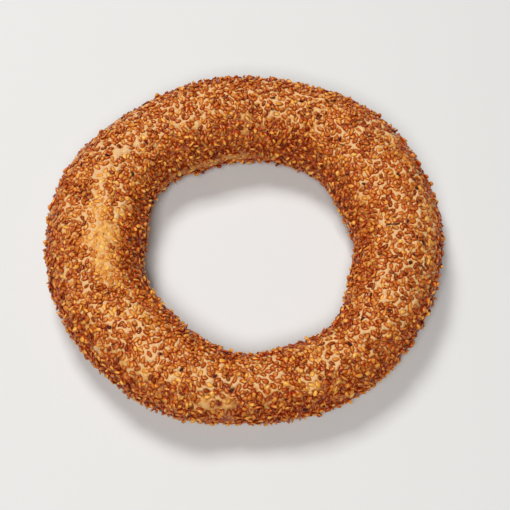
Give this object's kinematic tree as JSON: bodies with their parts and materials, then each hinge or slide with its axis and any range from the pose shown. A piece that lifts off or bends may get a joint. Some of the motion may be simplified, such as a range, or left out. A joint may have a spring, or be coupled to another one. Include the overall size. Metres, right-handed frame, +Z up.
{
  "type": "simit",
  "caption": "Simit, a ring of baked bread rolled by hand, uneven in width, crusted all over with toasted sesame seeds, with an open hole through its middle.",
  "frame": {"origin": "under the middle of the ring, on the plane that its underside rests on", "axes": "+Z up through the hole, +X to the right and +Y away from whoever faces the ring's thin side"},
  "size_m": [0.1653, 0.1579, 0.0345],
  "materials": {
    "crust": "baked dough, golden with a satin sheen, browner where the sesame lies thick",
    "golden_sesame": "lightly toasted sesame, amber, with a satin sheen",
    "brown_sesame": "well toasted sesame, reddish brown, with a satin sheen",
    "dark_sesame": "burnt and black seeds, nearly matt"
  },
  "bodies": {
    "root": {"simit": "crust"}
  },
  "joints": []
}
